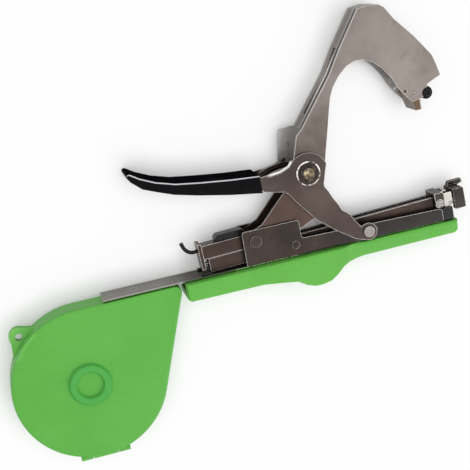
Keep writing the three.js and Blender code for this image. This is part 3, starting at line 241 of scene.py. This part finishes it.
lighting_level, shown_level = 0.66, 1.0
sky = Sky("sky")
sky.set(Color=(1, 1, 1, 1), Strength=lighting_level + sky.direct() * (shown_level - lighting_level))
bpy.context.scene.world = sky.world
lamps = [("window", (0.6, -0.55, 0.75), 1.15, 50), ("rear", (-0.7, 0.6, 0.9), 0.4, 70)]
for name, direction, energy, spread in lamps:
    lamp = bpy.data.objects.new(name, bpy.data.lights.new(name, "SUN"))
    lamp.data.energy, lamp.data.angle = energy, math.radians(spread)
    lamp.matrix_world = Vector(direction).to_track_quat("Z", "Y").to_matrix().to_4x4()
    bpy.context.scene.collection.objects.link(lamp)


# Tape case: a teardrop shell with a hanging ear and a foot, and a cover with a raised ring, hinged at the
# foot. Both are moulded in bright green plastic with a fine grain, a soft gloss and light scuffs. The side
# walls and the ring are a deeper green as painted shade, and the thin ear a lighter one as painted light.
def smoothed(node, finish, edge=0.00015, angle=32):
    """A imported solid's copy on its body, with merged corners, smooth rounds and slightly broken edges."""
    same_place, same_plane = 2e-6, math.radians(0.6)
    source = frame["nodes"][node]
    shape = bmesh.new()
    shape.from_mesh(source.data)
    bmesh.ops.remove_doubles(shape, verts=shape.verts, dist=same_place)
    bmesh.ops.dissolve_limit(shape, angle_limit=same_plane, verts=shape.verts, edges=shape.edges)
    for face in shape.faces:
        face.smooth = True
    for side in shape.edges:
        side.smooth = len(side.link_faces) == 2 and side.calc_face_angle(0) < math.radians(angle)
    data = bpy.data.meshes.new(node + "_shape")
    shape.to_mesh(data)
    shape.free()
    data.materials.append(finish.material)
    piece = bpy.data.objects.new(node + "_shape", data)
    bpy.context.scene.collection.objects.link(piece)
    if edge:
        broken = piece.modifiers.new("edges", "BEVEL")
        broken.width, broken.segments, broken.limit_method = edge, 2, "ANGLE"
        broken.angle_limit, broken.harden_normals = math.radians(angle), True
    level = piece.modifiers.new("level", "WEIGHTED_NORMAL")
    level.keep_sharp, level.weight = True, 90
    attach(piece, source["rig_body"])
    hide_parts(node)
    return piece


def middle(node):
    """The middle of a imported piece, in metres."""
    low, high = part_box(node)
    return (low + high) / 2


def moulded_green(name, colour, deep, scratch_depth=0.000008):
    """Moulded plastic: faint flow clouds, a fine grain, scratches and rubbed, duller patches."""
    edge_width, grain_depth = 0.0006, 0.000012
    green = Finish(name, IOR=1.5, Specular_IOR_Level=0.3)
    flow = green.cloud(26, 4, (1, 1.4, 1))
    speck = green.cloud(420, 2)
    rubbed = green.cloud(55, 5).step(0.56, 0.74)
    base = green.mixed((flow * 0.75 + speck * 0.25).step(0.3, 0.72), (*deep, 1), (*colour, 1))
    worn = green.mixed(green.edges(edge_width) * 0.5, base, (0.3, 0.66, 0.2, 1))
    scratch = green.cloud(900, 2, (0.04, 1, 1), (0, 0, 0.5)).step(0.66, 0.72)
    green.set(Base_Color=green.mixed(scratch * 0.1, worn, (0.26, 0.6, 0.18, 1)),
              Roughness=0.4 + rubbed * 0.16 + speck * 0.06)
    green.relief(green.cloud(1500, 2), grain_depth)
    green.relief(scratch, scratch_depth)
    return green


case_green = moulded_green("case_green", (0.122, 0.46, 0.068), (0.1, 0.42, 0.052))
case_centre, case_round = middle("tape_core"), 0.0425
ring_outer, ring_inner, ring_foot = 0.0122, 0.007, (0.0195, 0.0205)
ear_place, ear_size = (-0.034, 0.0335, 0), 0.0115
# Painted shade: the top of the raised ring is a deeper green.
ring = case_green.within(case_centre, ring_outer) - case_green.within(case_centre, ring_inner)
case_green.tint(ring * case_green.axis("Z").step(*ring_foot) * 0.5, (0.04, 0.37, 0.07))
# Painted shade: faces turned away from the top are a deeper green.
upright = case_green.facing("Z")
case_green.tint((1 - upright.size().step(0.25, 0.55)) * 0.35, (0.03, 0.24, 0.012))
# Painted light: the thin ear's upward face is a lighter green, lifting it out of its shade.
ear = case_green.within(ear_place, ear_size) * (1 - case_green.within(case_centre, case_round))
case_green.tint(ear * upright.step(0.4, 0.7) * 0.8, (0.24, 0.68, 0.15))
smoothed("case_shell", case_green, edge=0.0003)
smoothed("case_cover", case_green, edge=0.0003)


# Hinge pin of the cover: a drawn steel wire pushed through the knuckles.
# The same bright steel is used for the small turned pins and rivets of the whole tool.
def plated(name, colour, dark, roughness, streak, grain, wear_and_highlight, tones=()):
    """Plated steel: drawing marks, cloudy plating, stains in the hollows and worn edges, painted bright as a
    highlight.

    Each tone is (axis, from, to, colour): the plating turns to that colour from one place to another."""
    edge_width, mark_depth, cloud_depth = 0.0005, 0.000015, 0.00012
    deep_stain = tuple(part * 0.55 for part in dark)
    steel = Finish(name)
    clouds = steel.cloud(38, 5, turn=(0, 0, 0.4))
    marks = steel.cloud(grain, 3, streak)
    stain = steel.cloud(130, 4).step(0.55, 0.8)
    base = steel.mixed(clouds.step(0.32, 0.68), (*dark, 1), (*colour, 1))
    for axis, first, last, tone in tones:
        wander = (clouds - 0.5) * abs(last - first)
        drift = (steel.axis(axis) + wander).step(min(first, last), max(first, last))
        base = steel.mixed(drift if last > first else 1 - drift, base, (*tone, 1))
    stained = steel.mixed(stain * 0.35, base, (*deep_stain, 1))
    # The edges are lightened for wear and also as a painted highlight.
    bright = steel.edges(edge_width) * wear_and_highlight
    steel.set(Base_Color=steel.mixed(bright, stained, (0.92, 0.89, 0.85, 1)), Metallic=0.95,
              Roughness=roughness + marks * 0.14 + stain * 0.12 - bright * 0.08)
    steel.relief(marks, mark_depth)
    steel.relief(clouds, cloud_depth)
    return steel


bright_steel = plated("bright_steel", (0.36, 0.34, 0.32), (0.2, 0.185, 0.17), 0.24, (1, 1, 1), 500, 0.6)
smoothed("hinge_pin", bright_steel, edge=0.0001)

# Reel: a roll of thin green plastic tape wound on a card core. It turns on the case's hub.
# The wound layers show as fine rings on the roll's sides.
wound_tape = Finish("wound_tape", IOR=1.48)
layer_rate, layer_wander, layer_depth, dent_depth = 20000, 6, 0.00003, 0.0001
from_hub = wound_tape.reach(middle("tape_core"))
layers = (from_hub * layer_rate + wound_tape.cloud(60, 2) * layer_wander).sine() * 0.5 + 0.5
wound_tape.set(Base_Color=wound_tape.mixed(layers * 0.6, (0.03, 0.22, 0.07, 1), (0.06, 0.34, 0.12, 1)),
               Roughness=0.32 + layers * 0.2)
wound_tape.relief(layers, layer_depth)
wound_tape.relief(wound_tape.cloud(150, 3), dent_depth)
smoothed("tape_roll", wound_tape, edge=0.0001)
card, fibre_depth = Finish("card_core", IOR=1.45), 0.00006
fibres = card.cloud(700, 4, (1, 1, 0.15))
card.set(Base_Color=card.mixed(fibres, (0.27, 0.18, 0.09, 1), (0.5, 0.36, 0.2, 1)),
         Roughness=0.8 + fibres * 0.15)
card.relief(fibres, fibre_depth)
smoothed("tape_core", card, edge=0.0002)

# Lower frame: one sheet steel channel with two ears for the arm, low walls to the nose and a strip to the
# case, plated and gone brownish, with bright sheared edges that carry a painted highlight. The fold between
# floor and wall has a painted highlight, most of all below the ears. The case's screws are plated alike.
dark_front, pale_strip, fold_highlight_span = (0.14, 0.16), (0.068, 0.052), (0.088, 0.093, 0.126, 0.132)
frame_steel = plated("frame_steel", (0.052, 0.039, 0.034), (0.03, 0.0235, 0.021), 0.3, (0.06, 1, 1), 520, 0.8,
                     [("X", *dark_front, (0.03, 0.0265, 0.0265)), ("X", *pale_strip, (0.2, 0.185, 0.165))])
upright, below = frame_steel.facing("Z"), 1 - frame_steel.facing("Y").step(-0.4, -0.2)
# Painted highlights on the fold between floor and wall, with a spotty one below the ears.
frame_steel.tint(upright.band(0.35, 0.5, 0.7, 0.85) * below * 0.75, (0.85, 0.82, 0.78))
fold = upright.band(0.1, 0.2, 0.93, 0.975) * below * frame_steel.axis("X").band(*fold_highlight_span)
frame_steel.tint(fold * frame_steel.cloud(700, 1).step(0.38, 0.5), (0.9, 0.87, 0.83))
smoothed("main_frame", frame_steel, edge=0.0002)
for node in ["case_screw_1", "case_screw_2"]:
    smoothed(node, frame_steel, edge=0.00005)

# Grip: moulded green plastic with a parting line along its middle, clipped through the frame's floor.
# It is a little lighter than the case and has no scratches. The clips' heads inside the frame are dark.
seam_inner, seam_outer, seam_height, clip_foot = 0.00008, 0.00035, 0.00012, (0.0434, 0.0442)
grip_green = moulded_green("grip_green", (0.14, 0.5, 0.07), (0.118, 0.45, 0.058), scratch_depth=0)
seam = 1 - (grip_green.axis("Z") - middle("grip").z).size().step(seam_inner, seam_outer)
grip_green.relief(seam, seam_height)
grip_green.tint(grip_green.axis("Y").step(*clip_foot), (0.015, 0.02, 0.014))
smoothed("grip", grip_green, edge=0.0003)

# Hook arm: a plated sheet steel channel with a C-shaped throat, and two riveted legs inside the frame's ears.
# It is lighter and warmer than the frame, with soft blotches. The open seam on its back is a dark line
# between two painted highlights, and the near plate is painted black in a disc round the roller.
pale_throat, inner_low, inner_high, roller_black_radius = (0.15, 0.085), 0.0044, 0.0068, 0.0031
far_line, near_line = (0.0141, 0.0147, 0.016, 0.0166), (0.0192, 0.0198)
open_seam = (0.0155, 0.0161, 0.0191, 0.0197)
back_x, back_y = -0.812, 0.584
# Painted light: the far plate gets a paler tone and its inner face a lighter one, lifting them out of shade.
hook_steel = plated("hook_steel", (0.25, 0.217, 0.2), (0.195, 0.168, 0.154), 0.3, (0.35, 1, 1), 420, 0.6,
                    [("Y", *pale_throat, (0.093, 0.073, 0.064)),
                     ("Z", inner_high, inner_low, (0.36, 0.34, 0.32))])
height = hook_steel.axis("Z")
inside = (1 - height.step(inner_low, inner_high)) * hook_steel.facing("Z").step(0.3, 0.6)
hook_steel.tint(inside, (0.56, 0.55, 0.53))
back = (hook_steel.facing("X") * back_x + hook_steel.facing("Y") * back_y).step(0.75, 0.9)
# Painted highlights along both edges of the open seam; the seam itself is a dark line.
hook_steel.tint(height.band(*far_line) * back * 0.45, (0.8, 0.77, 0.74))
hook_steel.tint(height.band(*open_seam) * back, (0.012, 0.01, 0.01))
hook_steel.tint(height.step(*near_line) * back * 0.6, (0.85, 0.82, 0.79))
# A disc of the near plate round the roller is painted black.
hook_steel.tint(hook_steel.within(middle("tape_roller"), roller_black_radius), (0.012, 0.011, 0.011))
smoothed("hook_channel", hook_steel, edge=0.0002)
leg_steel = plated("leg_steel", (0.1, 0.066, 0.053), (0.068, 0.046, 0.038), 0.3, (1, 0.3, 1), 420, 0.6)
for side in ["near", "far"]:
    smoothed("arm_leg_" + side, leg_steel, edge=0.0002)
    for place in ["1", "2"]:
        smoothed(f"arm_rivet_{side}_{place}", bright_steel, edge=0.0001)

# Tip of the hook: a brown plated die block that bends the staples' legs, with a bright ground cutter screwed
# on in front of it and a rubber-covered roller on a blackened pin that leads the tape.
die_steel = plated("die_block", (0.12, 0.082, 0.055), (0.042, 0.03, 0.024), 0.3, (1, 1, 1), 500, 0.4)
smoothed("clincher", die_steel, edge=0.0002)
smoothed("clincher_rivet", hook_steel, edge=0.0001)
smoothed("cutter_blade", bright_steel, edge=0.00005)
dark_steel = plated("dark_steel", (0.03, 0.028, 0.026), (0.015, 0.014, 0.013), 0.3, (1, 1, 1), 700, 0.5)
smoothed("cutter_screw", dark_steel, edge=0.0001)
black_steel = plated("black_steel", (0.012, 0.011, 0.011), (0.006, 0.006, 0.006), 0.4, (1, 1, 1), 700, 0.2)
smoothed("roller_pin", black_steel, edge=0.0001)


def black_moulding(name, roughness, grain, depth, gloss=0.28, rubbed=(0.09, 0.09, 0.09)):
    """Black plastic or vinyl: a faint grain, dust in its duller patches and greyer edges."""
    edge_width = 0.0007
    black = Finish(name, IOR=1.5, Specular_IOR_Level=gloss)
    dust = black.cloud(90, 5).step(0.5, 0.8)
    skin = black.cloud(grain, 2)
    base = black.mixed(dust * 0.5, (0.004, 0.004, 0.005, 1), (0.02, 0.019, 0.019, 1))
    black.set(Base_Color=black.mixed(black.edges(edge_width) * 0.4, base, (*rubbed, 1)),
              Roughness=roughness + dust * 0.2 + skin * 0.05)
    black.relief(skin, depth)
    return black


rubber = black_moulding("roller_rubber", 0.6, 1400, depth=0.00003, gloss=0.03, rubbed=(0.03, 0.03, 0.03))
smoothed("tape_roller", rubber, edge=0.0004)

# Squeeze lever: a plated steel channel whose side plates are handle, boss and leg in one, with a painted
# highlight on its upper edge between boss and handle. The free end is dipped in thick, wavy black vinyl
# with a pale rim of painted highlight.
shoulder_ends, shoulder_foot, shoulder_width = (0.117, 0.121, 0.1315, 0.1345), (0.0885, 0.0915), 0.003
lever_steel = plated("lever_steel", (0.085, 0.066, 0.058), (0.056, 0.042, 0.037), 0.28, (1, 0.4, 1), 460, 0.8)
# Painted highlight: a white band along the upper edge between boss and handle.
shoulder = lever_steel.axis("X").band(*shoulder_ends) * lever_steel.axis("Y").step(*shoulder_foot)
lever_steel.tint(lever_steel.edges(shoulder_width) * shoulder, (0.95, 0.93, 0.9))
smoothed("lever", lever_steel, edge=0.0002)
vinyl = black_moulding("dipped_vinyl", 0.2, 60, depth=0.0002, gloss=0)
palm_side = vinyl.facing("Y").step(0.1, 0.4)
vinyl.set(Coat_Weight=0.12 - palm_side * 0.12, Coat_Roughness=0.15)
# Painted highlight: a pale line along the rounded edge between the handle's top and its near side.
vinyl.tint(vinyl.facing("Z").band(0.3, 0.5, 0.72, 0.88) * palm_side * 0.85, (0.85, 0.85, 0.88))
smoothed("lever_grip", vinyl, edge=0.0005)

# Main rivet with its washers, the leg rivets and the pivot pins: turned and headed steel. The main rivet's
# head is dished, with a yellow worn middle in a hollow painted dark as shade. The washers are thin, with
# painted shade next to the head and a bright rim of painted highlight.
for node in ["leg_rivet_near", "leg_rivet_far"]:
    smoothed(node, bright_steel)
pin_steel = plated("pin_steel", (0.062, 0.047, 0.041), (0.034, 0.026, 0.023), 0.3, (1, 1, 1), 500, 0.9)
for node in ["rear_pivot_pin", "magazine_pivot_near", "magazine_pivot_far"]:
    smoothed(node, pin_steel)
rivet_place, hollow_outer, hollow_inner, worn_middle = middle("main_rivet"), 0.0046, 0.0034, 0.003
dark_disc, rim_from = 0.0061, 0.0062
rivet_steel = plated("rivet_steel", (0.17, 0.135, 0.1), (0.05, 0.04, 0.034), 0.26, (1, 1, 1), 500, 1.0)
# Painted shade: a dark ring in the dished hollow of the rivet's head.
hollow = rivet_steel.within(rivet_place, hollow_outer) - rivet_steel.within(rivet_place, hollow_inner)
rivet_steel.tint(hollow * rivet_steel.cloud(420, 2).step(0.42, 0.58) * 0.85, (0.014, 0.011, 0.01))
worn = rivet_steel.within(rivet_place, worn_middle) * rivet_steel.cloud(640, 2).step(0.4, 0.6)
rivet_steel.tint(worn * 0.8, (0.3, 0.24, 0.15))
smoothed("main_rivet", rivet_steel)
washer_steel = plated("washer_steel", (0.085, 0.062, 0.054), (0.048, 0.036, 0.032), 0.26, (1, 1, 1), 700, 1.0)
# Painted shade: the washer is darker next to the rivet's head.
washer_steel.tint(washer_steel.within(rivet_place, dark_disc) * 0.6, (0.02, 0.016, 0.014))
# Painted highlight: a bright, broken rim on the washer's outer edge.
rim_highlight = (1 - washer_steel.within(rivet_place, rim_from)) * washer_steel.cloud(300, 2).step(0.4, 0.55)
washer_steel.tint(rim_highlight, (0.85, 0.81, 0.76))
for side in ["near", "far"]:
    smoothed("rivet_washer_" + side, washer_steel, edge=0.00012)

# Return spring round the main rivet, pusher spring on its rod and leaf spring under the magazine: oiled
# steel, dark but for the return spring. The wires are round, so each packed tube is smoothed all round.
spring_wire = plated("spring_wire", (0.3, 0.28, 0.265), (0.16, 0.15, 0.14), 0.28, (1, 1, 1), 700, 0)
for node, finish in [("return_spring", spring_wire), ("pusher_spring", dark_steel)]:
    wire = smoothed(node, finish, edge=0, angle=80)
    rounder = wire.modifiers.new("round", "SUBSURF")
    rounder.levels = rounder.render_levels = 1
smoothed("magazine_spring", dark_steel, edge=0.00008)

# Magazine with its nose, a folded channel that holds the staples, and the screws and the pin of the nose.
# It is darker and more stained than the hook. The front part of the nose is painted bright as a highlight.
magazine_steel = plated("magazine_steel", (0.062, 0.042, 0.036), (0.033, 0.024, 0.021), 0.3, (0.05, 1, 1),
                        560, 1.0)
smoothed("magazine", magazine_steel)
nose_front_highlight = (0.2172, 0.218)
# Painted highlight: the front of the nose turns pale.
nose_steel = plated("nose_steel", (0.075, 0.063, 0.056), (0.04, 0.033, 0.029), 0.28, (1, 1, 1), 500, 1.0,
                    [("X", *nose_front_highlight, (0.4, 0.375, 0.345))])
smoothed("magazine_nose", nose_steel, edge=0.0002)
for node in ["nose_screw_near", "nose_screw_far", "holder_pin"]:
    smoothed(node, bright_steel, edge=0.0001)

# Tape holder in front of the nose: a dark cast block with a lug, on two arms. Its edges are rubbed bright and
# carry a painted highlight. The black guide below it closes the frame's front end over the driver's foot.
holder_steel = plated("holder_steel", (0.06, 0.052, 0.048), (0.03, 0.026, 0.024), 0.32, (1, 1, 1), 600, 1.0)
smoothed("tape_holder", holder_steel, edge=0.0003)
guide_black = black_moulding("guide_black", 0.35, 900, depth=0.00003)
smoothed("end_guide", guide_black, edge=0.0002)
for node in ["driver_blade", "driver_rivet", "guide_rivet"]:
    smoothed(node, bright_steel, edge=0.00006)

# Staple stick, follower and pusher rod inside the magazine. The staples are glued wires, so the stick shows a
# line between each two of them.
staples = Finish("staple_wire", Metallic=0.95)
wire_pitch, wire_depth = 0.0007, 0.00012
wires = (staples.axis("X") * (2 * math.pi / wire_pitch)).sine() * 0.5 + 0.5
staples.set(Base_Color=staples.mixed(wires, (0.3, 0.29, 0.27, 1), (0.68, 0.66, 0.62, 1)),
            Roughness=0.3 - wires * 0.08)
staples.relief(wires, wire_depth)
smoothed("staple_stick", staples, edge=0.0001)
smoothed("follower", hook_steel, edge=0.0002)
smoothed("pusher_rod", bright_steel, edge=0.0001)

# Pusher unit behind the frame: a folded steel cap with an end plate, a black thumb pad with cross ribs on its
# top and a curved black pull.
smoothed("pusher_cap", magazine_steel, edge=0.0002)
pad_black = black_moulding("pad_black", 0.3, 800, depth=0.00003)
rib_pitch, rib_height = 0.0018, 0.0003
ribs = (pad_black.axis("X") * (2 * math.pi / rib_pitch)).sine().step(-0.2, 0.5)
pad_black.relief(ribs, rib_height)
smoothed("pusher_pad", pad_black, edge=0.0003)
smoothed("pusher_pull", guide_black, edge=0, angle=60)
